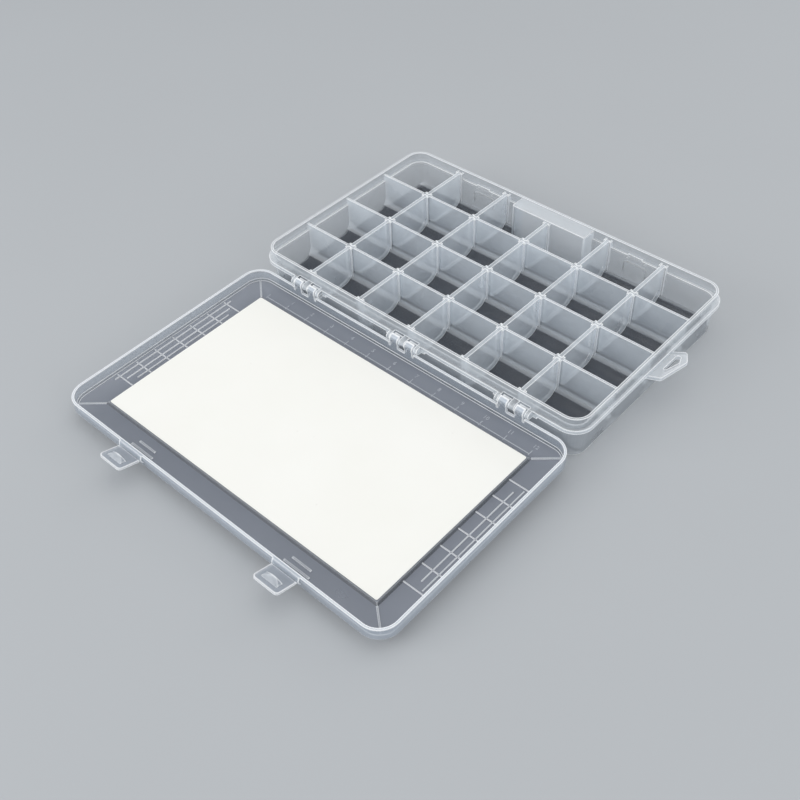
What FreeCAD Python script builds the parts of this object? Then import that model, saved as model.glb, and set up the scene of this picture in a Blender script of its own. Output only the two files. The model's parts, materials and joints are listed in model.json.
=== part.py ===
import FreeCAD, Part
import math
import os

# All sizes are in mm. X runs along the box, the hinge wall faces -Y, Z is up.

# Standing lip that the lid closes over
lip_length = 180.0
lip_width = 110.4
lip_corner = 8.0
lip_wall = 1.2
lip_top = 21.5

# Lid wall and its fit round the lip
lid_wall = 1.1
lid_fit = 0.3
seat_gap = 0.1

# Ledge that the lid's edge meets
ledge_top = 16.4
ledge_height = 1.8

# Body below the ledge
body_inset = 0.6
foot_inset = 1.1
body_wall = 1.4
floor_thick = 1.2
shoulder_top = 16.8

# Long walls between the four troughs, and the troughs' rounded feet
long_wall = 1.1
side_row = 25.8
trough_round = 6.5
grid_top = 20.3
sheet_relief = 0.05

# Loose dividers and the paired ribs that hold them
end_column = 28.0
column_lines = 5
divider_thick = 1.8
divider_fit = 0.15
rib_width = 0.9
rib_depth = 1.2

# Finger block in the latch wall
block_half = 21.3
block_depth = 7.2
block_top = 21.1
block_wall = 1.2
block_round = 1.0
block_edge = 0.5

# Catches below the two latches
latch_inset = 45.0
scoop_width = 12.0
scoop_low = 2.2
scoop_high = 12.4
scoop_round = 1.5
scoop_depth = 0.5
nib_offset = 4.7
nib_width = 1.2
nib_height = 0.9
stay_length = 7.6
stay_height = 0.8

# Hanging loop on the end wall, its points counted from the lip's end
loop_points = [(-1.0, -9.2), (6.4, -5.7), (9.6, 9.7), (6.3, 15.0), (-1.0, 9.6)]
loop_slot = [(4.0, -3.4), (7.1, 7.0), (5.6, 11.0), (4.0, 9.8)]
loop_height = 1.6
loop_round = 1.4
slot_round = 0.5

# Three snap hinges
hinge_inset = 30.5
hinge_out = 0.9
hinge_z = 14.5
pin_radius = 1.1
pin_fit = 0.2
hook_wall = 1.0
hook_offset = 4.2
hook_width = 4.4
hook_mouth = 100.0
hook_side_gap = 0.5
ear_width = 1.8
ear_radius = 1.8
rim_notch = 1.6
pad_length = 2.4
pad_height = 1.1

# Lid skin, raised panel and its moulded lines, which are counted from the inside of the rim
lid_depth = 5.7
lid_skin = 1.0
lid_edge = 0.9
panel_margin = 0.5
panel_rise = 1.0
panel_run = 0.9
line_height = 0.35
line_width = 0.5
mitre_width = 0.8
bar_pitch = 10.33
bar_count = 7
bar_gap = 1.5
left_lines = [(3.1, 33.6), (6.6, 29.8), (9.7, 26.4)]
right_lines = [(3.8, 29.8), (6.8, 26.9)]
latch_lines = [(6.0, 9.7), (3.2, 13.2)]
latch_line_width = 0.9

# Paper label on the panel, set in from the rim
card_end_gap = 13.1
card_side_gap = 11.8
card_thick = 0.3

# Latch flaps, the sloped pads that carry them and their catches
flap_width = 12.9
flap_length = 9.5
flap_thick = 1.0
flap_round = 1.6
flap_gap = 0.2
flap_rest = 17.0
knuckle_radius = 0.5
knuckle_rise = 2.1
latch_pad_width = 14.0
latch_pad = 1.0
latch_pad_low = 0.3
latch_pad_tall = 2.8
latch_pad_root = 4.2
catch_length = 8.0
catch_height = 1.5
catch_end = 0.3
catch_start = 4.3
catch_back = 0.4
catch_run = 2.9

# Lid position shown: turned fully open
lid_open = 181.0

embed = 0.2
past = 1.0


def vec(x, y, z):
    return FreeCAD.Vector(x, y, z)


def outline(length, width, corner, z):
    hx = length / 2
    hy = width / 2
    k = corner * (1 - math.sqrt(0.5))
    edges = []
    edges.append(Part.makeLine(vec(corner - hx, -hy, z), vec(hx - corner, -hy, z)))
    edges.append(Part.Arc(vec(hx - corner, -hy, z), vec(hx - k, k - hy, z), vec(hx, corner - hy, z)).toShape())
    edges.append(Part.makeLine(vec(hx, corner - hy, z), vec(hx, hy - corner, z)))
    edges.append(Part.Arc(vec(hx, hy - corner, z), vec(hx - k, hy - k, z), vec(hx - corner, hy, z)).toShape())
    edges.append(Part.makeLine(vec(hx - corner, hy, z), vec(corner - hx, hy, z)))
    edges.append(Part.Arc(vec(corner - hx, hy, z), vec(k - hx, hy - k, z), vec(-hx, hy - corner, z)).toShape())
    edges.append(Part.makeLine(vec(-hx, hy - corner, z), vec(-hx, corner - hy, z)))
    edges.append(Part.Arc(vec(-hx, corner - hy, z), vec(k - hx, k - hy, z), vec(corner - hx, -hy, z)).toShape())
    return Part.Wire(edges)


def prism(length, width, corner, low, high):
    return Part.Face(outline(length, width, corner, low)).extrude(vec(0, 0, high - low))


def box(x0, x1, y0, y1, z0, z1):
    return Part.makeBox(x1 - x0, y1 - y0, z1 - z0, vec(x0, y0, z0))


def rod(x0, x1, y, z, radius):
    return Part.makeCylinder(radius, x1 - x0, vec(x0, y, z), vec(1, 0, 0))


def plate(points, low, height):
    corners = [vec(x, y, low) for x, y in points]
    return Part.Face(Part.makePolygon(corners + corners[:1])).extrude(vec(0, 0, height))


def upright_edges(shape):
    found = []
    for edge in shape.Edges:
        ends = [v.Point for v in edge.Vertexes]
        if len(ends) == 2 and (ends[0] - ends[1]).cross(vec(0, 0, 1)).Length < 1e-6:
            found.append(edge)
    return found


def rectangle(length, width, z):
    x = length / 2
    y = width / 2
    corners = [vec(-x, -y, z), vec(x, -y, z), vec(x, y, z), vec(-x, y, z)]
    return Part.makePolygon(corners + corners[:1])


def trough_profile(y0, y1, low, high, round0, round1):
    start = vec(0, y0, high)
    edges = [Part.makeLine(start, vec(0, y0, low + round0))]
    k = round0 * (1 - math.sqrt(0.5))
    edges.append(Part.Arc(vec(0, y0, low + round0), vec(0, y0 + k, low + k), vec(0, y0 + round0, low)).toShape())
    edges.append(Part.makeLine(vec(0, y0 + round0, low), vec(0, y1 - round1, low)))
    k = round1 * (1 - math.sqrt(0.5))
    edges.append(Part.Arc(vec(0, y1 - round1, low), vec(0, y1 - k, low + k), vec(0, y1, low + round1)).toShape())
    edges.append(Part.makeLine(vec(0, y1, low + round1), vec(0, y1, high)))
    edges.append(Part.makeLine(vec(0, y1, high), start))
    return Part.Face(Part.Wire(edges))


# Sizes that follow from the ones above
ledge_low = ledge_top - ledge_height
lid_length = lip_length + 2 * (lid_fit + lid_wall)
lid_width = lip_width + 2 * (lid_fit + lid_wall)
lid_corner = lip_corner + lid_fit + lid_wall
lid_front = lid_width / 2
inner_inset = body_inset + body_wall
inner_length = lip_length - 2 * inner_inset
inner_width = lip_width - 2 * inner_inset
inner_corner = lip_corner - inner_inset
inner_x = inner_length / 2
inner_y = inner_width / 2
lip_inner_x = lip_length / 2 - lip_wall
lip_inner_y = lip_width / 2 - lip_wall
body_y = lip_width / 2 - body_inset
half_wall = long_wall / 2
row_pitch = inner_y - side_row
wall_rows = [-row_pitch, 0.0, row_pitch]
column_pitch = 2 * (inner_x - end_column) / (column_lines - 1)
divider_columns = [(i - (column_lines - 1) / 2) * column_pitch for i in range(column_lines)]
block_face = inner_y - block_depth
latch_x = lip_length / 2 - latch_inset
hinge_x = [hinge_inset - lip_length / 2, 0.0, lip_length / 2 - hinge_inset]
round_z = floor_thick + trough_round
row_low = [-inner_y] + [y + half_wall for y in wall_rows]
row_high = [y - half_wall for y in wall_rows] + [inner_y]
slot_half = divider_thick / 2 + divider_fit
hinge_y = -(lid_front + hinge_out)
rim_edge = ledge_top + seat_gap
frame_z = rim_edge + lid_depth
lid_top = frame_z + lid_skin
rim_x = lid_length / 2 - lid_wall
rim_y = lid_front - lid_wall
card_length = 2 * (rim_x - card_end_gap)
card_width = 2 * (rim_y - card_side_gap)

# Outer body with its draft, the ledge and the lip
foot = outline(lip_length - 2 * foot_inset, lip_width - 2 * foot_inset, lip_corner - foot_inset, 0)
waist = outline(lip_length - 2 * body_inset, lip_width - 2 * body_inset, lip_corner - body_inset, ledge_top)
base = Part.makeLoft([foot, waist], True, True)
base = base.fuse(prism(lid_length, lid_width, lid_corner, ledge_low, ledge_top))
base = base.fuse(prism(lip_length, lip_width, lip_corner, ledge_top, lip_top))

# Mouth inside the lip, four rounded troughs and the hollows under their rounded feet
inside = prism(inner_length, inner_width, inner_corner, -past, lip_top + past)
mouth = prism(lip_length - 2 * lip_wall, lip_width - 2 * lip_wall, lip_corner - lip_wall, shoulder_top, lip_top + past)
base = base.cut(mouth)
for y0, y1 in zip(row_low, row_high):
    profile = trough_profile(y0, y1, floor_thick, lip_top, trough_round, trough_round)
    profile.translate(vec(-inner_x, 0, 0))
    base = base.cut(profile.extrude(vec(inner_length, 0, 0)).common(inside))
sheet_radius = trough_round + floor_thick + sheet_relief
for y in [-inner_y] + wall_rows + [inner_y]:
    low = max(y - half_wall - trough_round, -inner_y)
    high = min(y + half_wall + trough_round, inner_y)
    if abs(y) == inner_y:
        low = max(y - trough_round, -inner_y)
        high = min(y + trough_round, inner_y)
    hollow = box(-inner_x, inner_x, low, high, -past, round_z)
    for centre in (low, high):
        if abs(centre) < inner_y:
            hollow = hollow.cut(rod(-inner_x - past, inner_x + past, centre, round_z, sheet_radius))
    base = base.cut(hollow.common(inside))

# Tops of the long walls, reaching the lip at both ends
grow = []
for y in wall_rows:
    reach = lip_inner_x + embed
    grow.append(box(-reach, reach, y - half_wall, y + half_wall, shoulder_top - past, grid_top))

# Finger block, rounded where it faces the compartments
block = box(-block_half, block_half, block_face, lip_inner_y + embed, 0, block_top)
block = block.makeFillet(block_round, [e for e in upright_edges(block) if e.CenterOfMass.y < inner_y])
rims = [e for e in block.Edges if abs(e.CenterOfMass.z - block_top) < 1e-6 and e.CenterOfMass.y < inner_y]
grow.append(block.makeChamfer(block_edge, rims))

# Paired ribs that hold the loose dividers
rib_foot = round_z - math.sqrt(trough_round ** 2 - (trough_round - rib_depth) ** 2)
slots = []
for x in divider_columns:
    for row, (y0, y1) in enumerate(zip(row_low, row_high)):
        far = y1
        if row == 3 and abs(x) < block_half:
            far = block_face
        slots.append((x, y0, far))
        for side in (-1, 1):
            a = x + side * slot_half
            b = a + side * rib_width
            back = past if row == 0 else embed
            grow.append(box(min(a, b), max(a, b), y0 - back, y0 + rib_depth, rib_foot, grid_top))
            back = past if far == inner_y else embed
            low = floor_thick - embed if far == block_face else rib_foot
            grow.append(box(min(a, b), max(a, b), far - rib_depth, far + back, low, grid_top))

# Nibs under the ledge and a stay on the shoulder at each latch
for x in (-latch_x, latch_x):
    for side in (-1, 1):
        middle = x + side * nib_offset
        grow.append(box(middle - nib_width / 2, middle + nib_width / 2, body_y - embed, lid_front - lid_fit,
                        ledge_low - nib_height, ledge_low + embed))
    grow.append(box(x - stay_length / 2, x + stay_length / 2, inner_y, lip_inner_y + embed,
                    shoulder_top - embed, shoulder_top + stay_height))

# Hanging loop with its slot
lip_end = lip_length / 2
loop = plate([(lip_end + x, y) for x, y in loop_points], ledge_low - loop_height, loop_height + embed)
loop = loop.makeFillet(loop_round, [e for e in upright_edges(loop) if e.CenterOfMass.x > lip_end])
slot = plate([(lip_end + x, y) for x, y in loop_slot], ledge_low - loop_height - past, loop_height + 2 * past)
slot = slot.makeFillet(slot_round, upright_edges(slot))

# Snap hinges: ears and a web carry a pin in front of the ledge, and pads thicken the ledge beside them
hook_reach = hook_offset + hook_width / 2
ear_start = hook_reach + hook_side_gap
web_half = hook_offset - hook_width / 2 - hook_side_gap
gaps = []
for x in hinge_x:
    gaps.append(box(x - ear_start, x + ear_start, hinge_y - ear_radius, -body_y, ledge_low - past, ledge_top))
base = base.multiFuse(grow).cut(Part.makeCompound(gaps))
carriers = [loop]
for x in hinge_x:
    spans = [(x - ear_start - ear_width, x - ear_start), (x - web_half, x + web_half)]
    spans.append((x + ear_start, x + ear_start + ear_width))
    for x0, x1 in spans:
        carriers.append(rod(x0, x1, hinge_y, hinge_z, ear_radius))
        carriers.append(box(x0, x1, hinge_y, -body_y + embed, hinge_z - ear_radius, hinge_z + ear_radius))
    carriers.append(rod(x - ear_start - embed, x + ear_start + embed, hinge_y, hinge_z, pin_radius))
    for side in (-1, 1):
        a = x + side * (ear_start + ear_width)
        b = a + side * pad_length
        carriers.append(box(min(a, b), max(a, b), -lid_front, -body_y + embed, ledge_low - pad_height,
                            ledge_low + embed))
base = base.multiFuse(carriers)

# Finger pocket open to the outside below the ledge, and the scoops under the latches
pocket_x = block_half - block_wall
cuts = [slot]
cuts.append(box(-pocket_x, pocket_x, block_face + block_wall, inner_y, -past, block_top - block_wall))
cuts.append(box(-pocket_x, pocket_x, inner_y - embed, lid_front + past, -past, ledge_low))
for x in (-latch_x, latch_x):
    scoop = box(x - scoop_width / 2, x + scoop_width / 2, body_y - scoop_depth, lid_front, scoop_low, scoop_high)
    top_edges = []
    for edge in scoop.Edges:
        middle = edge.CenterOfMass
        if abs(middle.z - scoop_high) < 1e-6 and abs(abs(middle.x - x) - scoop_width / 2) < 1e-6:
            top_edges.append(edge)
    cuts.append(scoop.makeFillet(scoop_round, top_edges))
base = base.cut(Part.makeCompound(cuts)).removeSplitter()

# Loose dividers, rounded at the foot to follow the troughs
dividers = {}
for x, y0, y1 in slots:
    row = row_low.index(y0) + 1
    column = divider_columns.index(x) + 1
    foot_round = trough_round - divider_fit
    far_round = foot_round if y1 in row_high else block_round
    profile = trough_profile(y0 + divider_fit, y1 - divider_fit, floor_thick + divider_fit, grid_top,
                             foot_round, far_round)
    profile.translate(vec(x - divider_thick / 2, 0, 0))
    dividers["divider_r%d_%d" % (row, column)] = profile.extrude(vec(divider_thick, 0, 0))

# Lid, shaped as closed: rim, skin and the panel that stands in from it
lid = prism(lid_length, lid_width, lid_corner, rim_edge, lid_top)
outer_edges = [e for e in lid.Edges if abs(e.CenterOfMass.z - lid_top) < 1e-6]
lid = lid.makeChamfer(lid_edge, outer_edges)
lid = lid.cut(prism(lid_length - 2 * lid_wall, lid_width - 2 * lid_wall, lid_corner - lid_wall,
                    rim_edge - past, frame_z))
panel_length = card_length + 2 * panel_margin
panel_width = card_width + 2 * panel_margin
panel_z = frame_z - panel_rise
wide = rectangle(panel_length + 2 * panel_run, panel_width + 2 * panel_run, frame_z)
narrow = rectangle(panel_length, panel_width, panel_z)
lid = lid.fuse(Part.makeLoft([wide, narrow], True, True))
wide = rectangle(panel_length + panel_run, panel_width + panel_run, lid_top)
narrow = rectangle(panel_length - panel_run, panel_width - panel_run, lid_top - panel_rise)
lid = lid.cut(Part.makeLoft([wide, narrow], True, True))

# Moulded lines: ladders on the short sides, pairs at the latches and a mitre at each corner
lines = []
line_low = frame_z - line_height
panel_foot = panel_length / 2 + panel_run
for side, rails in ((-1, left_lines), (1, right_lines)):
    for i in range(bar_count):
        y = (i - (bar_count - 1) / 2) * bar_pitch
        a = side * (panel_foot - embed)
        b = side * (rim_x - bar_gap)
        lines.append(box(min(a, b), max(a, b), y - line_width / 2, y + line_width / 2, line_low, frame_z + embed))
    for inset, half in rails:
        x = side * (rim_x - inset)
        lines.append(box(x - line_width / 2, x + line_width / 2, -half, half, line_low, frame_z + embed))
for x in (-latch_x, latch_x):
    for inset, length in latch_lines:
        y = rim_y - inset
        lines.append(box(x - length / 2, x + length / 2, y - latch_line_width / 2, y + latch_line_width / 2,
                         line_low, frame_z + embed))
rim_inner = lid_corner - lid_wall
arc_in = rim_inner * (1 - math.sqrt(0.5))
for sx in (-1, 1):
    for sy in (-1, 1):
        start = vec(sx * panel_foot, sy * (panel_width / 2 + panel_run), line_low)
        end = vec(sx * (rim_x - arc_in), sy * (rim_y - arc_in), line_low)
        along = end - start
        bar = box(-embed, along.Length + embed, -mitre_width / 2, mitre_width / 2, 0, line_height + embed)
        bar.rotate(vec(0, 0, 0), vec(0, 0, 1), math.degrees(math.atan2(along.y, along.x)))
        bar.translate(start)
        lines.append(bar)
lid = lid.multiFuse(lines)

# Hooks that snap round the hinge pins, set in notches of the rim
bore_radius = pin_radius + pin_fit
hook_radius = bore_radius + hook_wall
hooks = []
for x in hinge_x:
    lid = lid.cut(box(x - ear_start, x + ear_start, -lid_front - past, lid_fit - lip_width / 2 + past - lid_wall,
                      rim_edge - past, rim_edge + rim_notch))
    for side in (-1, 1):
        x0 = x + side * hook_offset - hook_width / 2
        x1 = x0 + hook_width
        hook = rod(x0, x1, hinge_y, hinge_z, hook_radius)
        hook = hook.fuse(box(x0, x1, -lid_front, lid_wall - lid_front, hinge_z, rim_edge + rim_notch + embed))
        hook = hook.cut(rod(x0 - past, x1 + past, hinge_y, hinge_z, bore_radius))
        mouth = box(x0 - past, x1 + past, 0, 2 * hook_radius, -bore_radius * math.sin(math.radians(hook_mouth / 2)),
                    bore_radius * math.sin(math.radians(hook_mouth / 2)))
        mouth.rotate(vec(0, 0, 0), vec(1, 0, 0), 240)
        mouth.translate(vec(0, hinge_y, hinge_z))
        hooks.append(hook.cut(mouth))
pad_points = [(-embed, 0), (latch_pad_low, 0), (latch_pad, knuckle_rise - knuckle_radius)]
pad_points += [(latch_pad, latch_pad_tall), (-embed, latch_pad_root)]
for x in (-latch_x, latch_x):
    corners = [vec(x - latch_pad_width / 2, lid_front + y, rim_edge + z) for y, z in pad_points]
    hooks.append(Part.Face(Part.makePolygon(corners + corners[:1])).extrude(vec(latch_pad_width, 0, 0)))
lid = lid.multiFuse(hooks).removeSplitter()

card = box(-card_length / 2, card_length / 2, -card_width / 2, card_width / 2, panel_z - card_thick, panel_z)

# Latch flaps beside the pads, each with a catch that snaps under the ledge, bent a little towards closing
flap_y = lid_front + latch_pad + flap_gap + knuckle_radius
flap_z = rim_edge + knuckle_rise
flap_low = flap_z - flap_thick / 2
catch_y = flap_y + catch_start
catch_rise = catch_height - catch_end
catch_radius = (catch_length ** 2 / 4 + catch_rise ** 2) / (2 * catch_rise)
flaps = {}
for name, x in (("latch_left", -latch_x), ("latch_right", latch_x)):
    flap = box(x - flap_width / 2, x + flap_width / 2, flap_y, flap_y + flap_length, flap_low, flap_low + flap_thick)
    tips = [e for e in upright_edges(flap) if e.CenterOfMass.y > flap_y + past]
    flap = flap.makeFillet(flap_round, tips)
    flap = flap.fuse(rod(x - flap_width / 2, x + flap_width / 2, flap_y, flap_z, knuckle_radius))
    corners = [vec(x - catch_length / 2, catch_y, flap_low + embed), vec(x - catch_length / 2, catch_y, flap_low)]
    corners.append(vec(x - catch_length / 2, catch_y + catch_back, flap_low - catch_height))
    corners.append(vec(x - catch_length / 2, catch_y + catch_run, flap_low))
    corners.append(vec(x - catch_length / 2, catch_y + catch_run, flap_low + embed))
    catch = Part.Face(Part.makePolygon(corners + corners[:1])).extrude(vec(catch_length, 0, 0))
    crown = Part.makeCylinder(catch_radius, catch_run + 2 * past,
                              vec(x, catch_y - past, flap_low - catch_height + catch_radius), vec(0, 1, 0))
    flap = flap.fuse(catch.common(crown)).removeSplitter()
    flap.rotate(vec(0, flap_y, flap_z), vec(1, 0, 0), -flap_rest)
    flaps[name] = flap

# Turn the lid and what it carries to the open position
turning = {"lid": lid, "label_card": card}
turning.update(flaps)
for shape in turning.values():
    shape.rotate(vec(0, hinge_y, hinge_z), vec(1, 0, 0), lid_open)

os.makedirs("parts", exist_ok=True)
base.exportStep("parts/base.step")
for name, shape in turning.items():
    shape.exportStep("parts/%s.step" % name)
for name, shape in dividers.items():
    shape.exportStep("parts/%s.step" % name)
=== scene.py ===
import bpy
import bmesh
import json
import math
from mathutils import Matrix, Vector


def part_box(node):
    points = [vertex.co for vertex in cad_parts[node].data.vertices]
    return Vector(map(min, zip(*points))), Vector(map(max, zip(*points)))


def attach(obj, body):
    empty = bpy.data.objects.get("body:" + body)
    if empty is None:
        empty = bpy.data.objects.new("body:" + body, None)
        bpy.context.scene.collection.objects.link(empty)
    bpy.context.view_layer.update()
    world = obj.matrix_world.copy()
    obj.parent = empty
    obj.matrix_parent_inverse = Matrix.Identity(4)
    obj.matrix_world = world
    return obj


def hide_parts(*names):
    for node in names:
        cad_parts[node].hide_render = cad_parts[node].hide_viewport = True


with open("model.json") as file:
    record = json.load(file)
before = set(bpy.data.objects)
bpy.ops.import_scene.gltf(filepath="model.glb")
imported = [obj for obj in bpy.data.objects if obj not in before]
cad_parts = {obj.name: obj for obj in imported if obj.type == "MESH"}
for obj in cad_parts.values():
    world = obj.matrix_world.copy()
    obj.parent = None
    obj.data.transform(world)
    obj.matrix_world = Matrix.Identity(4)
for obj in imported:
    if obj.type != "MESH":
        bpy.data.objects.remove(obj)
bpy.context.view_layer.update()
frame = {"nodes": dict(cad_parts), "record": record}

scene = bpy.context.scene
print("frame loaded:", len(frame["nodes"]), "nodes")

# X runs along the box, Y from the hinges to the latches
alongX, alongY, up = Vector((1, 0, 0)), Vector((0, 1, 0)), Vector((0, 0, 1))

# where the lid's hinge line lies, and how far the lid is turned open at rest
joints = {joint["child"]: joint for joint in frame["record"]["behaviour"]["joints"]}
hingePlace = Vector(joints["lid"]["pos_m"])
openAngle = -math.radians(joints["lid"]["range_deg"][0])
lidTurn = Matrix.Translation(hingePlace) @ Matrix.Rotation(openAngle, 4, "X") @ Matrix.Translation(-hingePlace)

# driving sizes in metres: the ledge and the closed lid's rim share their half sizes
baseLow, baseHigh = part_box("base")
cardLow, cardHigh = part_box("label_card")
ledgeX, ledgeY, lipTop = -baseLow[0], baseHigh[1], baseHigh[2]
lidClear = 0.0007  # from the lip's top to the closed lid's skin
skinFace = lipTop + lidClear


def addNode(tree, kind, x, y, **values):
    node = tree.nodes.new(kind)
    node.location = (x, y)
    for name, value in values.items():
        setattr(node, name, value)
    return node


# an input takes a link from another socket, or a plain value
def feed(tree, target, value):
    if isinstance(value, bpy.types.NodeSocket):
        tree.links.new(value, target)
    else:
        target.default_value = value


def addMath(tree, operation, x, y, *values):
    node = addNode(tree, "ShaderNodeMath", x, y, operation=operation)
    for target, value in zip(node.inputs, values):
        feed(tree, target, value)
    return node.outputs[0]


def addMap(tree, value, x, y, start=0.0, end=1.0, low=0.0, high=1.0, kind="LINEAR"):
    node = addNode(tree, "ShaderNodeMapRange", x, y, interpolation_type=kind)
    ends = {"Value": value, "From Min": start, "From Max": end, "To Min": low, "To Max": high}
    for label, given in ends.items():
        feed(tree, node.inputs[label], given)
    return node.outputs["Result"]


# a mix node holds sockets for every type: factor, first, second and result go by place
mixSockets = {"RGBA": (0, 6, 7, 2), "FLOAT": (0, 2, 3, 0)}


def addMix(tree, kind, x, y, *values):
    node = addNode(tree, "ShaderNodeMix", x, y, data_type=kind)
    *places, result = mixSockets[kind]
    for place, value in zip(places, values):
        feed(tree, node.inputs[place], value)
    return node.outputs[result]


def addNoise(tree, x, y, vector, **values):
    node = addNode(tree, "ShaderNodeTexNoise", x, y)
    feed(tree, node.inputs["Vector"], vector)
    for label, value in values.items():
        feed(tree, node.inputs[label.capitalize()], value)
    return node.outputs["Fac"]


def newGroup(name, kind, inputs, outputs):
    group = bpy.data.node_groups.new(name, kind)
    for label, socketType, value in inputs:
        socket = group.interface.new_socket(label, in_out="INPUT", socket_type=socketType)
        if value is not None:
            socket.default_value = value
    for label, socketType in outputs:
        group.interface.new_socket(label, in_out="OUTPUT", socket_type=socketType)
    return group


# the film's tones, before a material sets its own
filmTones = {"Body Colour": (0.4, 0.45, 0.52, 1), "Floor Colour": (0.4, 0.45, 0.52, 1),
             "Top Colour": (0.4, 0.45, 0.52, 1), "Edge Highlight Colour": (0.9, 0.93, 0.95, 1)}
filmValues = {"Body Alpha": 0.4, "Floor Alpha": 0.4, "Top Alpha": 0.4, "Edge Highlight Alpha": 0.9, "Edge Width": 0.0006,
              "Edge Foot": 1.0, "Line Strength": 1.0, "Floor Top": 0.003, "Slope Shade": 0.0, "Inner Shade": 0.0,
              "Window X": 0.0, "Window Y": 0.0, "Window Middle": 0.0, "Window Alpha": 0.16,
              "Cloud Size": 0.02, "Cloud Amount": 0.12, "Facing": 1.0, "Roughness": 0.3}
# where its masks begin and end, its clouds and its grain
filmMasks = {"edgeRays": 8, "edgeClear": 0.95, "edgeHighlightWhite": 0.6, "levelFrom": 0.45, "levelTo": 0.66,
             "floorBlend": 0.0012, "footLow": 0.004, "footHigh": 0.018, "slopeFlat": 0.95, "slopeSteep": 0.8,
             "innerFrom": -0.035, "innerTo": -0.05, "cloudDetail": 3.0, "cloudRoughness": 0.45, "cloudMiddle": 0.5,
             "cloudGloss": 0.16, "grainScale": 2600.0, "grainDetail": 2.0}


# milky moulded plastic: cloudy tone, a painted white highlight along every edge where the film is also denser, fine
# satin grain
def makeMilkyPlastic(m):
    inputs = [(label, "NodeSocketColor", value) for label, value in filmTones.items()]
    inputs += [(label, "NodeSocketFloat", value) for label, value in filmValues.items()]
    group = newGroup("milkyPlastic", "ShaderNodeTree", inputs, [
        ("Colour", "NodeSocketColor"), ("Alpha", "NodeSocketFloat"),
        ("Roughness", "NodeSocketFloat"), ("Height", "NodeSocketFloat")])
    inp = addNode(group, "NodeGroupInput", -1000, 0).outputs
    out = addNode(group, "NodeGroupOutput", 900, 0).inputs
    link = group.links.new
    coord = addNode(group, "ShaderNodeTexCoord", -780, -120).outputs
    # edge highlight mask: short rays into the wall find the next face only near an outer edge or in a thin ridge, and
    # there the colour is painted white as a highlight
    geometry = addNode(group, "ShaderNodeNewGeometry", -980, 360)
    outward = addNode(group, "ShaderNodeVectorMath", -780, 360, operation="SCALE")
    link(geometry.outputs["True Normal"], outward.inputs[0])
    link(inp["Facing"], outward.inputs["Scale"])
    probe = addNode(group, "ShaderNodeAmbientOcclusion", -580, 300, samples=m["edgeRays"], inside=True, only_local=True)
    link(inp["Edge Width"], probe.inputs["Distance"])
    link(outward.outputs[0], probe.inputs["Normal"])
    edge = addMap(group, probe.outputs["AO"], -380, 260, m["edgeClear"], m["edgeHighlightWhite"])
    # level floors take on the shade below them, walls stand edge-on and look milkier
    upright = addNode(group, "ShaderNodeSeparateXYZ", -580, 80)
    link(coord["Normal"], upright.inputs[0])
    spot = addNode(group, "ShaderNodeSeparateXYZ", -580, -20)
    link(coord["Object"], spot.inputs[0])
    place = spot.outputs
    level = addMath(group, "ABSOLUTE", -380, 60, upright.outputs["Z"])
    levelMask = addMap(group, level, -200, 60, m["levelFrom"], m["levelTo"], kind="SMOOTHSTEP")
    under = addMath(group, "SUBTRACT", -480, -40, inp["Floor Top"], place["Z"])
    low = addMap(group, under, -320, -40, end=m["floorBlend"], kind="SMOOTHSTEP")
    onFloor = addMath(group, "MULTIPLY", -60, 0, levelMask, low)
    onTop = addMath(group, "SUBTRACT", -60, -100, levelMask, onFloor)
    lower = addMix(group, "RGBA", 0, 140, onFloor, inp["Body Colour"], inp["Floor Colour"])
    tone = addMix(group, "RGBA", 100, 140, onTop, lower, inp["Top Colour"])
    # lines on a floor and edges near the foot get less light
    onLine = addMap(group, onFloor, 0, 420, low=1.0, high=inp["Line Strength"])
    foot = addMap(group, place["Z"], 0, 560, m["footLow"], m["footHigh"], low=inp["Edge Foot"])
    dimmed = addMath(group, "MULTIPLY", 200, 480, onLine, foot)
    paintedHighlight = addMath(group, "MULTIPLY", 360, 420, edge, dimmed)
    # sloped steps lie in their own shade
    slope = addMap(group, level, -200, 200, m["slopeFlat"], m["slopeSteep"], kind="SMOOTHSTEP")
    step = addMath(group, "MULTIPLY", -20, 260, slope, onFloor)
    stepShade = addMath(group, "MULTIPLY", 140, 300, step, inp["Slope Shade"])
    # so do the faces of outer walls that look in towards the middle
    along = addMath(group, "SUBTRACT", -560, -760, place["Y"], inp["Window Middle"])
    fromMiddle = addNode(group, "ShaderNodeCombineXYZ", -760, 560)
    link(place["X"], fromMiddle.inputs["X"])
    link(along, fromMiddle.inputs["Y"])
    inward = addNode(group, "ShaderNodeVectorMath", -580, 520, operation="DOT_PRODUCT")
    link(fromMiddle.outputs[0], inward.inputs[0])
    link(coord["Normal"], inward.inputs[1])
    turned = addMath(group, "MULTIPLY", -400, 520, inward.outputs["Value"], inp["Facing"])
    inner = addMap(group, turned, -220, 520, m["innerFrom"], m["innerTo"], kind="SMOOTHSTEP")
    innerShade = addMath(group, "MULTIPLY", -40, 640, inner, inp["Inner Shade"])
    shade = addMath(group, "ADD", 60, 360, stepShade, innerShade)
    # slow clouds where the melt flowed unevenly
    perCloud = addMath(group, "DIVIDE", -780, -360, 1.0, inp["Cloud Size"])
    cloud = addNoise(group, -560, -160, coord["Object"], scale=perCloud, detail=m["cloudDetail"],
                     roughness=m["cloudRoughness"])
    swing = addMath(group, "SUBTRACT", -360, -160, cloud, m["cloudMiddle"])
    shift = addMath(group, "MULTIPLY", -180, -160, swing, inp["Cloud Amount"])
    bright = addMath(group, "ADD", 0, -160, shift, 1.0)
    lit = addMath(group, "SUBTRACT", 90, -60, bright, shade)
    tinted = addNode(group, "ShaderNodeVectorMath", 180, 60, operation="SCALE")
    link(tone, tinted.inputs[0])
    link(lit, tinted.inputs["Scale"])
    # the painted highlight turns edges white over the shaded tone
    link(addMix(group, "RGBA", 400, 140, paintedHighlight, tinted.outputs[0], inp["Edge Highlight Colour"]), out["Colour"])
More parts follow.
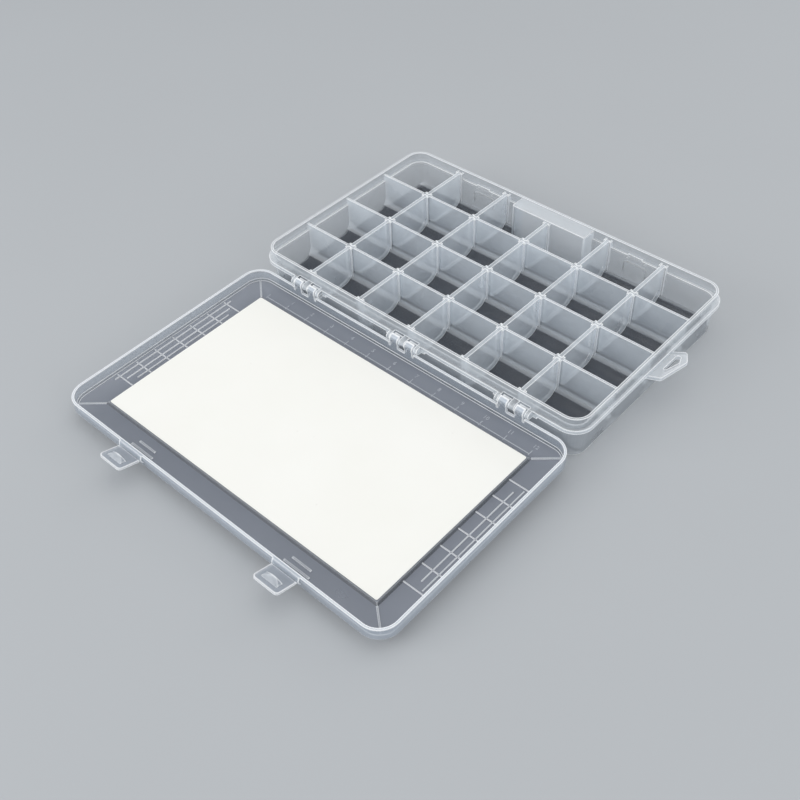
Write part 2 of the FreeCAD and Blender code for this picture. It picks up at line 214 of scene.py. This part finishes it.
    # behind a card the skin stays clear
    across = addMath(group, "ABSOLUTE", -380, -620, place["X"])
    away = addMath(group, "ABSOLUTE", -380, -760, along)
    inX = addMath(group, "LESS_THAN", -200, -620, across, inp["Window X"])
    inY = addMath(group, "LESS_THAN", -200, -760, away, inp["Window Y"])
    window = addMath(group, "MULTIPLY", 0, -680, inX, inY)
    # the film is denser where clouds are pale, and denser still under the painted edge highlight
    body = addMix(group, "FLOAT", 0, -300, onFloor, inp["Body Alpha"], inp["Floor Alpha"])
    upper = addMix(group, "FLOAT", 100, -460, onTop, body, inp["Top Alpha"])
    film = addMix(group, "FLOAT", 200, -560, window, upper, inp["Window Alpha"])
    dense = addMath(group, "ADD", 400, -300, film, shift)
    link(addMix(group, "FLOAT", 480, -120, paintedHighlight, dense, inp["Edge Highlight Alpha"]), out["Alpha"])
    # satin grain left by the mould
    grain = addNoise(group, -360, -420, coord["Object"], scale=m["grainScale"], detail=m["grainDetail"])
    link(grain, out["Height"])
    gloss = addMath(group, "MULTIPLY_ADD", 180, -420, cloud, m["cloudGloss"], inp["Roughness"])
    link(gloss, out["Roughness"])
    return group


milkyPlastic = makeMilkyPlastic(filmMasks)


def newMaterial(name):
    material = bpy.data.materials.new(name)
    material.use_nodes = True
    tree = material.node_tree
    tree.nodes.clear()
    output = addNode(tree, "ShaderNodeOutputMaterial", 700, 0)
    shader = addNode(tree, "ShaderNodeBsdfPrincipled", 400, 0)
    tree.links.new(shader.outputs[0], output.inputs["Surface"])
    return material, tree, shader.inputs


def addBump(tree, height, strength, depth):
    bump = addNode(tree, "ShaderNodeBump", 200, -260)
    bump.inputs["Strength"].default_value = strength
    bump.inputs["Distance"].default_value = depth
    tree.links.new(height, bump.inputs["Height"])
    return bump.outputs["Normal"]


plasticGloss = {"IOR": 1.49, "Coat Weight": 0.25, "Coat Roughness": 0.12}
plasticBump = {"strength": 0.06, "depth": 0.0002}


# floors and tops look like the body unless they have tones of their own
def makePlastic(name, tones):
    for level in ("Floor", "Top"):
        for value in (" Colour", " Alpha"):
            tones.setdefault(level + value, tones["Body" + value])
    material, tree, shader = newMaterial(name)
    film = addNode(tree, "ShaderNodeGroup", 0, 0)
    film.node_tree = milkyPlastic
    for label, value in tones.items():
        film.inputs[label].default_value = value
    # seen from inside the wall the normal is turned over, so it is turned back for the masks
    side = addNode(tree, "ShaderNodeNewGeometry", -400, 0)
    facing = addMap(tree, side.outputs["Backfacing"], -200, 0, low=1.0, high=-1.0)
    tree.links.new(facing, film.inputs["Facing"])
    tree.links.new(film.outputs["Colour"], shader["Base Color"])
    tree.links.new(film.outputs["Alpha"], shader["Alpha"])
    tree.links.new(film.outputs["Roughness"], shader["Roughness"])
    tree.links.new(addBump(tree, film.outputs["Height"], **plasticBump), shader["Normal"])
    for label, value in plasticGloss.items():
        shader[label].default_value = value
    return material


clearBlue = (0.88, 0.94, 1.0, 1)
# the white painted along edges as a highlight
edgeHighlightWhite = (0.985, 0.99, 0.995, 1)
windowMargin = 0.0002  # the card overlaps its clear window by this much
basePlastic = makePlastic("basePlastic", {
    "Body Colour": clearBlue, "Floor Colour": (0.1, 0.11, 0.13, 1), "Top Colour": (0.86, 0.89, 0.92, 1),
    "Edge Highlight Colour": edgeHighlightWhite, "Body Alpha": 0.31, "Floor Alpha": 0.6, "Top Alpha": 0.34, "Edge Highlight Alpha": 0.96,
    "Edge Width": 0.0006, "Floor Top": 0.004, "Inner Shade": 0.66, "Line Strength": 0.6, "Edge Foot": 0.9,
    "Cloud Size": 0.03, "Cloud Amount": 0.08, "Roughness": 0.2})
lidPlastic = makePlastic("lidPlastic", {
    "Body Colour": (0.6, 0.67, 0.76, 1), "Floor Colour": (0.3, 0.325, 0.38, 1), "Top Colour": (0.7, 0.76, 0.84, 1),
    "Edge Highlight Colour": edgeHighlightWhite, "Body Alpha": 0.4, "Floor Alpha": 0.5, "Top Alpha": 0.5, "Edge Highlight Alpha": 0.97,
    "Edge Width": 0.0008, "Floor Top": 0.0095, "Slope Shade": 0.45, "Inner Shade": 0.35, "Line Strength": 0.65,
    "Cloud Size": 0.045, "Cloud Amount": 0.08, "Roughness": 0.22,
    "Window X": cardHigh[0] - windowMargin, "Window Y": (cardHigh[1] - cardLow[1]) / 2 - windowMargin,
    "Window Middle": (cardHigh[1] + cardLow[1]) / 2})
latchPlastic = makePlastic("latchPlastic", {
    "Body Colour": (0.4, 0.44, 0.5, 1), "Edge Highlight Colour": edgeHighlightWhite, "Body Alpha": 0.45, "Edge Highlight Alpha": 0.97,
    "Edge Width": 0.0008, "Floor Top": 0.0, "Cloud Size": 0.008, "Cloud Amount": 0.14, "Roughness": 0.24})
dividerPlastic = makePlastic("dividerPlastic", {
    "Body Colour": clearBlue, "Top Colour": (0.84, 0.88, 0.92, 1), "Edge Highlight Colour": edgeHighlightWhite,
    "Body Alpha": 0.29, "Top Alpha": 0.4, "Edge Highlight Alpha": 0.95, "Edge Width": 0.0005, "Floor Top": 0.004,
    "Edge Foot": 0.95, "Cloud Size": 0.012, "Cloud Amount": 0.1, "Roughness": 0.22})

paper = {"warm": (0.945, 0.928, 0.868, 1), "warmTo": 0.3, "pale": (0.962, 0.946, 0.893, 1), "paleFrom": 0.72,
         "toneScale": 28.0, "toneDetail": 3.0, "fibreScale": 1400.0, "fibreDetail": 4.0,
         "fibreStretch": (1.0, 0.25, 1.0), "speckColour": (0.5, 0.47, 0.42, 1), "speckScale": 70.0,
         "speckEdge": 0.035, "speckCore": 0.02, "speckShare": 0.12, "smooth": 0.62, "rough": 0.82,
         "bump": {"strength": 0.15, "depth": 0.0001}}


# uncoated label stock: faint fibres, slow tone changes, a few specks
def makePaper(p):
    material, tree, shader = newMaterial("labelPaper")
    link = tree.links.new
    coord = addNode(tree, "ShaderNodeTexCoord", -900, 0).outputs["Object"]
    stretch = addNode(tree, "ShaderNodeMapping", -720, -160)
    stretch.inputs["Scale"].default_value = p["fibreStretch"]
    link(coord, stretch.inputs["Vector"])
    fibre = addNoise(tree, -520, -160, stretch.outputs[0], scale=p["fibreScale"], detail=p["fibreDetail"])
    tone = addNoise(tree, -520, 120, coord, scale=p["toneScale"], detail=p["toneDetail"])
    ramp = addNode(tree, "ShaderNodeValToRGB", -300, 120)
    warm, pale = ramp.color_ramp.elements
    warm.position, warm.color = p["warmTo"], p["warm"]
    pale.position, pale.color = p["paleFrom"], p["pale"]
    link(tone, ramp.inputs["Fac"])
    speck = addNode(tree, "ShaderNodeTexVoronoi", -520, 400)
    speck.inputs["Scale"].default_value = p["speckScale"]
    link(coord, speck.inputs["Vector"])
    dot = addMap(tree, speck.outputs["Distance"], -300, 400, p["speckEdge"], p["speckCore"], high=p["speckShare"])
    link(addMix(tree, "RGBA", 0, 200, dot, ramp.outputs["Color"], p["speckColour"]), shader["Base Color"])
    link(addMap(tree, fibre, 0, -100, low=p["smooth"], high=p["rough"]), shader["Roughness"])
    link(addBump(tree, fibre, **p["bump"]), shader["Normal"])
    return material


labelPaper = makePaper(paper)

# raised marks catch the light: the same milky plastic, nearly all edge
markPlastic = makePlastic("markPlastic", {
    "Body Colour": (0.8, 0.83, 0.87, 1), "Edge Highlight Colour": (0.9, 0.92, 0.94, 1), "Body Alpha": 0.28, "Edge Highlight Alpha": 0.45,
    "Edge Width": 0.0001, "Floor Top": 0.0, "Cloud Size": 0.02, "Cloud Amount": 0.3, "Roughness": 0.3})

finishes = {"base": basePlastic, "lid": lidPlastic, "latch": latchPlastic, "divider": dividerPlastic,
            "card": labelPaper}
nodeSlots = {part["node"]: part["material_slot"] for part in frame["record"]["subparts"]}
for name, node in frame["nodes"].items():
    node.data.materials.clear()
    node.data.materials.append(finishes[nodeSlots[name]])
print("materials on", len(nodeSlots), "nodes")


def settle(name, mesh, material, turn, body):
    mesh.transform(turn)
    mesh.materials.clear()
    mesh.materials.append(material)
    piece = bpy.data.objects.new(name, mesh)
    scene.collection.objects.link(piece)
    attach(piece, body)
    return piece


mergeGap = 1e-7  # points nearer than this are one


def plainMesh(name, work):
    bmesh.ops.remove_doubles(work, verts=work.verts, dist=mergeGap)
    bmesh.ops.recalc_face_normals(work, faces=work.faces)
    mesh = bpy.data.meshes.new(name)
    work.to_mesh(mesh)
    work.free()
    return mesh


# a helper object's finished shape as a plain mesh; the helper goes
def takeMesh(name, data, prepare=None):
    maker = bpy.data.objects.new(name + "Maker", data)
    scene.collection.objects.link(maker)
    if prepare:
        prepare(maker)
    bpy.context.view_layer.update()
    graph = bpy.context.evaluated_depsgraph_get()
    mesh = bpy.data.meshes.new_from_object(maker.evaluated_get(graph), depsgraph=graph)
    bpy.data.objects.remove(maker)
    return mesh


# the label card lies a hair clear of the panel, its corners eased by the knife
labelCard = {"clear": 0.00004, "corner": 0.0007, "cornerSteps": 4, "edge": 0.00005, "sharpAngle": 1.2}


def makeCard(c):
    corners = [lidTurn.inverted() @ v.co for v in frame["nodes"]["label_card"].data.vertices]
    low = Vector([min(p[k] for p in corners) for k in range(3)])
    high = Vector([max(p[k] for p in corners) for k in range(3)])
    high.z -= c["clear"]
    card = bmesh.new()
    bmesh.ops.create_cube(card, size=1.0)
    bmesh.ops.scale(card, vec=high - low, verts=card.verts)
    bmesh.ops.translate(card, vec=(low + high) / 2, verts=card.verts)
    upright = [e for e in card.edges if abs(e.verts[0].co.z - e.verts[1].co.z) > c["edge"]]
    bmesh.ops.bevel(card, geom=upright, offset=c["corner"], segments=c["cornerSteps"], profile=0.5, affect="EDGES")
    cut = [e for e in card.edges if abs(e.calc_face_angle(0)) > c["sharpAngle"]]
    bmesh.ops.bevel(card, geom=cut, offset=c["edge"], segments=1, profile=0.5, affect="EDGES")
    piece = settle("labelCard", plainMesh("labelCard", card), labelPaper, lidTurn, "lid")
    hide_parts("label_card")


makeCard(labelCard)
print("label card on the lid's panel")


# a row of moulded bars: count, pitch and bar size are inputs, each bar is one small box
def barRowTree():
    tree = newGroup("barRow", "GeometryNodeTree", [
        ("Count", "NodeSocketInt", 2), ("Start", "NodeSocketVector", None), ("Step", "NodeSocketVector", None),
        ("Bar", "NodeSocketVector", None), ("Finish", "NodeSocketMaterial", None)],
        [("Geometry", "NodeSocketGeometry")])
    link = tree.links.new
    inp = addNode(tree, "NodeGroupInput", -700, 0).outputs
    out = addNode(tree, "NodeGroupOutput", 500, 0)
    row = addNode(tree, "GeometryNodeMeshLine", -450, 120, mode="OFFSET")
    link(inp["Count"], row.inputs["Count"])
    link(inp["Start"], row.inputs["Start Location"])
    link(inp["Step"], row.inputs["Offset"])
    bar = addNode(tree, "GeometryNodeMeshCube", -450, -140)
    link(inp["Bar"], bar.inputs["Size"])
    repeat = addNode(tree, "GeometryNodeInstanceOnPoints", -200, 60)
    link(row.outputs[0], repeat.inputs["Points"])
    link(bar.outputs["Mesh"], repeat.inputs["Instance"])
    real = addNode(tree, "GeometryNodeRealizeInstances", 20, 60)
    link(repeat.outputs[0], real.inputs[0])
    coat = addNode(tree, "GeometryNodeSetMaterial", 240, 60)
    link(real.outputs[0], coat.inputs["Geometry"])
    link(inp["Finish"], coat.inputs["Material"])
    link(coat.outputs[0], out.inputs[0])
    return tree


barRow = barRowTree()


def barsMesh(name, count, start, step, bar, material):
    ids = {item.name: item.identifier for item in barRow.interface.items_tree if item.in_out == "INPUT"}
    values = {"Count": count, "Start": start, "Step": step, "Bar": bar, "Finish": material}

    def addBars(maker):
        modifier = maker.modifiers.new("bars", "NODES")
        modifier.node_group = barRow
        for label, value in values.items():
            modifier[ids[label]] = value

    return takeMesh(name, bpy.data.meshes.new(name + "Maker"), addBars)


# ruler beside the card, drawn on the closed lid's inner face and then turned open with it
rulerMarks = {"rise": 0.00022, "sink": 0.00002, "lineIn": 0.01, "divisions": 12, "pitch": 0.0127,
              "lineWide": 0.0003, "lineRise": 0.000176, "tickWide": 0.00032, "tickIn": 0.0007, "tickOut": 0.0021,
              "numberIn": 0.0054, "numberSize": 0.0028, "numberRise": 0.00012, "numberSteps": 2}


def numberMesh(text, m):
    curve = bpy.data.curves.new("number", "FONT")
    curve.body = text
    curve.align_x = "CENTER"
    curve.align_y = "CENTER"
    curve.size = m["numberSize"]
    curve.extrude = m["numberRise"] / 2
    curve.resolution_u = m["numberSteps"]
    mesh = takeMesh("number", curve)
    bpy.data.curves.remove(curve)
    return mesh


def makeRuler(m):
    half = m["divisions"] * m["pitch"] / 2
    step = (m["pitch"], 0, 0)
    lineY = m["lineIn"] - ledgeY
    middle = skinFace - m["rise"] / 2 + m["sink"]
    ticks = barsMesh("rulerTicks", m["divisions"] + 1, (-half, lineY + (m["tickIn"] - m["tickOut"]) / 2, middle), step,
                     (m["tickWide"], m["tickIn"] + m["tickOut"], m["rise"]), markPlastic)
    settle("rulerTicks", ticks, markPlastic, lidTurn, "lid")
    line = barsMesh("rulerLine", m["divisions"], (m["pitch"] / 2 - half, lineY, middle), step,
                    (m["pitch"] - m["tickWide"], m["lineWide"], m["lineRise"]), markPlastic)
    settle("rulerLine", line, markPlastic, lidTurn, "lid")
    # read from inside the open lid, so the digits are turned over on the closed lid
    flip = Matrix.Rotation(math.pi, 4, "X")
    numberZ = skinFace - m["numberRise"] / 2 + m["sink"]
    numbers = bmesh.new()
    for i in range(1, m["divisions"] + 1):
        mesh = numberMesh(str(i), m)
        mesh.transform(Matrix.Translation((i * m["pitch"] - half, m["numberIn"] - ledgeY, numberZ)) @ flip)
        numbers.from_mesh(mesh)
        bpy.data.meshes.remove(mesh)
    settle("rulerNumbers", plainMesh("rulerNumbers", numbers), markPlastic, lidTurn, "lid")


makeRuler(rulerMarks)
print("ruler: line, ticks and numbers on the lid")

# the catches' sloped faces carry a painted highlight: a thin milky white skin laid over them
catchHighlight = {"length": 0.008, "height": 0.0015, "end": 0.0003, "start": 0.0043, "back": 0.0004, "run": 0.0029,
             "flapThick": 0.001, "restBend": 17.0, "proud": 0.00004, "sink": 0.0001, "across": 16, "along": 5}
catchHighlightWhite = makePlastic("catchHighlightWhite", {
    "Body Colour": (0.84, 0.87, 0.9, 1), "Edge Highlight Colour": (0.95, 0.96, 0.97, 1), "Body Alpha": 0.34, "Edge Highlight Alpha": 0.6,
    "Edge Width": 0.0001, "Floor Top": 0.0, "Cloud Size": 0.003, "Cloud Amount": 0.3, "Roughness": 0.28})


def makeCatchSkin(name, body, c):
    rise = c["height"] - c["end"]
    radius = (c["length"] ** 2 / 4 + rise ** 2) / (2 * rise)
    fall = c["run"] - c["back"]
    out = Vector((0, c["height"], -fall)).normalized()
    skin = bmesh.new()
    points = []
    for depth in (c["proud"], -c["sink"]):
        for i in range(c["across"] + 1):
            x = (i / c["across"] - 0.5) * c["length"]
            crown = c["height"] - radius + math.sqrt(radius ** 2 - x ** 2)
            top = c["back"] + fall * (1 - crown / c["height"])
            for j in range(c["along"] + 1):
                y = top + (c["run"] - top) * j / c["along"]
                z = -c["height"] * (c["run"] - y) / fall
                points.append(skin.verts.new(Vector((x, c["start"] + y, z - c["flapThick"] / 2)) + out * depth))
    wide = c["along"] + 1
    layer = wide * (c["across"] + 1)
    for i in range(c["across"]):
        for j in range(c["along"]):
            a, b = i * wide + j, (i + 1) * wide + j
            skin.faces.new([points[k] for k in (a, b, b + 1, a + 1)])
            skin.faces.new([points[layer + k] for k in (a + 1, b + 1, b, a)])
    bmesh.ops.bridge_loops(skin, edges=[edge for edge in skin.edges if edge.is_boundary])
    # the flap's hinge line is on the open lid; the flap lies turned over and bent a little up
    bent = Matrix.Rotation(openAngle - math.radians(c["restBend"]), 4, "X")
    turn = Matrix.Translation(Vector(joints[body]["pos_m"])) @ bent
    settle(name, plainMesh(name, skin), catchHighlightWhite, turn, body)


# a painted highlight skin on each latch's catch
for side in ("left", "right"):
    makeCatchSkin("catchHighlight" + side.capitalize(), "latch_" + side, catchHighlight)
print("catch faces on both latches")


# painted highlight: thin white tubes laid along rounded edges so that they look white
tubeHighlightWhite = makePlastic("tubeHighlightWhite", {
    "Body Colour": (0.95, 0.96, 0.97, 1), "Edge Highlight Colour": edgeHighlightWhite, "Body Alpha": 0.85, "Edge Highlight Alpha": 0.9,
    "Edge Width": 0.0001, "Floor Top": 0.0, "Cloud Size": 0.006, "Cloud Amount": 0.2, "Roughness": 0.25})


# an arch rising from a level line: start, two rounded corners and end
def archPath(middle, along, rise, half, turn, tall, steps):
    points = [middle - along * half]
    for side, first in ((-1, math.pi), (1, math.pi / 2)):
        hub = middle + along * side * (half - turn) + rise * (tall - turn)
        for i in range(steps + 1):
            angle = first - i / steps * math.pi / 2
            points.append(hub + (along * math.cos(angle) + rise * math.sin(angle)) * turn)
    points.append(middle + along * half)
    return points


# a level loop with rounded corners
def loopPath(halfX, halfY, corner, z, steps):
    points = []
    for quarter, (sideX, sideY) in enumerate(((1, 1), (-1, 1), (-1, -1), (1, -1))):
        for i in range(steps + 1):
            angle = (quarter + i / steps) * math.pi / 2
            points.append(Vector((sideX * (halfX - corner) + corner * math.cos(angle),
                                  sideY * (halfY - corner) + corner * math.sin(angle), z)))
    return points


def settleBeads(name, paths, radius, turn, body, closed=False):
    work = bmesh.new()
    for path in paths:
        curve = bpy.data.curves.new("bead", "CURVE")
        curve.dimensions = "3D"
        curve.bevel_depth = radius
        curve.bevel_resolution = 1
        curve.use_fill_caps = True
        spline = curve.splines.new("POLY")
        spline.points.add(len(path) - 1)
        spline.use_cyclic_u = closed
        for point, place in zip(spline.points, path):
            point.co = (*place, 1)
        mesh = takeMesh("bead", curve)
        work.from_mesh(mesh)
        bpy.data.curves.remove(curve)
        bpy.data.meshes.remove(mesh)
    settle(name, plainMesh(name, work), tubeHighlightWhite, turn, body)


# painted highlight tubes on the finger block: its top edge and its two upright front edges, counted in from the ledge
# and down from the lip
blockHighlight = {"radius": 0.0002, "half": 0.02105, "frontIn": 0.01038, "backIn": 0.003, "topDown": 0.00058,
             "foot": 0.0042, "turn": 0.0008, "turnSteps": 5, "cornerIn": 0.00024}


def makeBlockBead(b):
    front, back, top = ledgeY - b["frontIn"], ledgeY - b["backIn"], lipTop - b["topDown"]
    paths = [archPath(Vector((0, back, top)), alongX, -alongY, b["half"], b["turn"], back - front, b["turnSteps"])]
    for side in (-1, 1):
        corner = Vector((side * (b["half"] - b["cornerIn"]), front + b["cornerIn"], 0))
        paths.append([corner + up * b["foot"], corner + up * top])
    settleBeads("blockHighlight", paths, b["radius"], Matrix.Identity(4), "base")


# painted highlight tubes on the rims of the scoops below the latches
scoopHighlight = {"radius": 0.00026, "half": 0.006, "wallIn": 0.00238, "foot": 0.0068, "tall": 0.0056, "turn": 0.0015,
             "turnSteps": 5}


def makeScoopBead(s):
    paths = []
    for latch in ("latch_left", "latch_right"):
        middle = Vector((joints[latch]["pos_m"][0], ledgeY - s["wallIn"], s["foot"]))
        paths.append(archPath(middle, alongX, up, s["half"], s["turn"], s["tall"], s["turnSteps"]))
    settleBeads("scoopHighlight", paths, s["radius"], Matrix.Identity(4), "base")


# painted highlight lines at the cove at the foot of the lid's standing rim: one line on the skin and one on the wall
cove = {"radius": 0.00015, "wall": 0.0011, "corner": 0.0081, "cornerSteps": 10, "skinIn": 0.0005, "wallUp": 0.0012,
        "sink": 0.00005}


def makeCove(c):
    insideX, insideY = ledgeX - c["wall"], ledgeY - c["wall"]
    paths = []
    for inset, depth in ((c["skinIn"], c["sink"]), (c["sink"], c["wallUp"])):
        paths.append(loopPath(insideX - inset, insideY - inset, c["corner"] - inset, skinFace - depth,
                              c["cornerSteps"]))
    settleBeads("coveHighlightLines", paths, c["radius"], lidTurn, "lid", closed=True)


makeBlockBead(blockHighlight)
makeScoopBead(scoopHighlight)
makeCove(cove)
print("white edges on the finger block, the scoops and the lid's cove")

# plain floor and soft studio light
studio = {"floorSize": 16.0, "floorDrop": 0.0002, "floorColour": (0.48, 0.495, 0.51), "floorSwing": 0.02,
          "floorCloud": 6.0, "floorRoughness": 0.7, "skyColour": (0.94, 0.97, 1.0, 1), "sky": 0.7,
          "horizonColour": (0.44, 0.47, 0.5, 1), "horizon": 0.72, "clearLayers": 40}
lamps = {
    "softTop": {"place": (-0.1, 0.2, 0.95), "aim": (0, -0.06, 0), "size": (0.9, 0.7), "watts": 1.2},
    "softFront": {"place": (-0.55, -1.0, 0.5), "aim": (0, -0.04, 0.01), "size": (0.9, 0.5), "watts": 5.2},
    "softRight": {"place": (1.0, -0.15, 0.38), "aim": (0, 0, 0.01), "size": (0.7, 0.4), "watts": 2.1},
    "softBack": {"place": (0.15, 0.95, 0.5), "aim": (0, 0, 0.01), "size": (1.0, 0.3), "watts": 1.2}}


def makeFloor(s):
    mesh = bpy.data.meshes.new("floor")
    h, z = s["floorSize"] / 2, -s["floorDrop"]
    mesh.from_pydata([(-h, -h, z), (h, -h, z), (h, h, z), (-h, h, z)], [], [(0, 1, 2, 3)])
    floor = bpy.data.objects.new("floor", mesh)
    scene.collection.objects.link(floor)
    material, tree, shader = newMaterial("floorPaint")
    shader["Roughness"].default_value = s["floorRoughness"]
    coord = addNode(tree, "ShaderNodeTexCoord", -500, 0).outputs["Object"]
    noise = addNoise(tree, -300, 0, coord, scale=s["floorCloud"])
    ramp = addNode(tree, "ShaderNodeValToRGB", -80, 0)
    for stop, swing in zip(ramp.color_ramp.elements, (-s["floorSwing"], s["floorSwing"])):
        stop.color = (*(Vector(s["floorColour"]) * (1 + swing)), 1)
    tree.links.new(noise, ramp.inputs["Fac"])
    tree.links.new(ramp.outputs["Color"], shader["Base Color"])
    mesh.materials.append(material)


# soft sky on the object; behind it the sky shows in the floor's own tone
def makeSky(s):
    world = bpy.data.worlds.new("studioSky")
    world.use_nodes = True
    tree = world.node_tree
    tree.nodes.clear()
    link = tree.links.new
    sky = addNode(tree, "ShaderNodeBackground", 0, 100)
    sky.inputs["Color"].default_value = s["skyColour"]
    sky.inputs["Strength"].default_value = s["sky"]
    horizon = addNode(tree, "ShaderNodeBackground", 0, -60)
    horizon.inputs["Color"].default_value = s["horizonColour"]
    horizon.inputs["Strength"].default_value = s["horizon"]
    ray = addNode(tree, "ShaderNodeLightPath", -500, 300).outputs
    seen = ray["Is Camera Ray"]
    for kind in ("Is Glossy Ray", "Is Transmission Ray"):
        seen = addMath(tree, "MAXIMUM", -250, 300, seen, ray[kind])
    mix = addNode(tree, "ShaderNodeMixShader", 250, 60)
    link(seen, mix.inputs[0])
    link(sky.outputs[0], mix.inputs[1])
    link(horizon.outputs[0], mix.inputs[2])
    output = addNode(tree, "ShaderNodeOutputWorld", 450, 60)
    link(mix.outputs[0], output.inputs["Surface"])
    scene.world = world


def makeLamp(name, place, aim, size, watts):
    light = bpy.data.lights.new(name, "AREA")
    light.shape = "RECTANGLE"
    light.size, light.size_y = size
    light.energy = watts
    lamp = bpy.data.objects.new(name, light)
    lamp.location = place
    lamp.rotation_euler = (Vector(aim) - Vector(place)).to_track_quat("-Z", "Y").to_euler()
    scene.collection.objects.link(lamp)


makeFloor(studio)
makeSky(studio)
for name, lamp in lamps.items():
    makeLamp(name, **lamp)

# camera fitted to the photograph: focal length in pixels, angles in degrees, offset in metres
lens = {"focal": 1064.8, "pixels": 800, "azimuth": 43.65, "elevation": 44.93, "roll": -2.46,
        "offset": (0.04042, 0.04554, 0.5), "sensor": 36.0, "near": 0.01}


def makeCamera(c):
    az, el, roll = (math.radians(c[k]) for k in ("azimuth", "elevation", "roll"))
    back = Vector((math.sin(az) * math.cos(el), -math.cos(az) * math.cos(el), math.sin(el)))
    right = up.cross(back).normalized()
    above = back.cross(right)
    right, above = right * math.cos(roll) + above * math.sin(roll), above * math.cos(roll) - right * math.sin(roll)
    x, y, z = c["offset"]
    data = bpy.data.cameras.new("photoCamera")
    data.sensor_width = c["sensor"]
    data.lens = c["focal"] / c["pixels"] * c["sensor"]
    data.clip_start = c["near"]
    camera = bpy.data.objects.new("photoCamera", data)
    camera.matrix_world = Matrix((right, above, back)).transposed().to_4x4()
    camera.location = back * z - right * x - above * y
    scene.collection.objects.link(camera)
    scene.camera = camera


makeCamera(lens)
scene.view_settings.view_transform = "Standard"
scene.cycles.transparent_max_bounces = studio["clearLayers"]
print("floor, lamps and camera set")
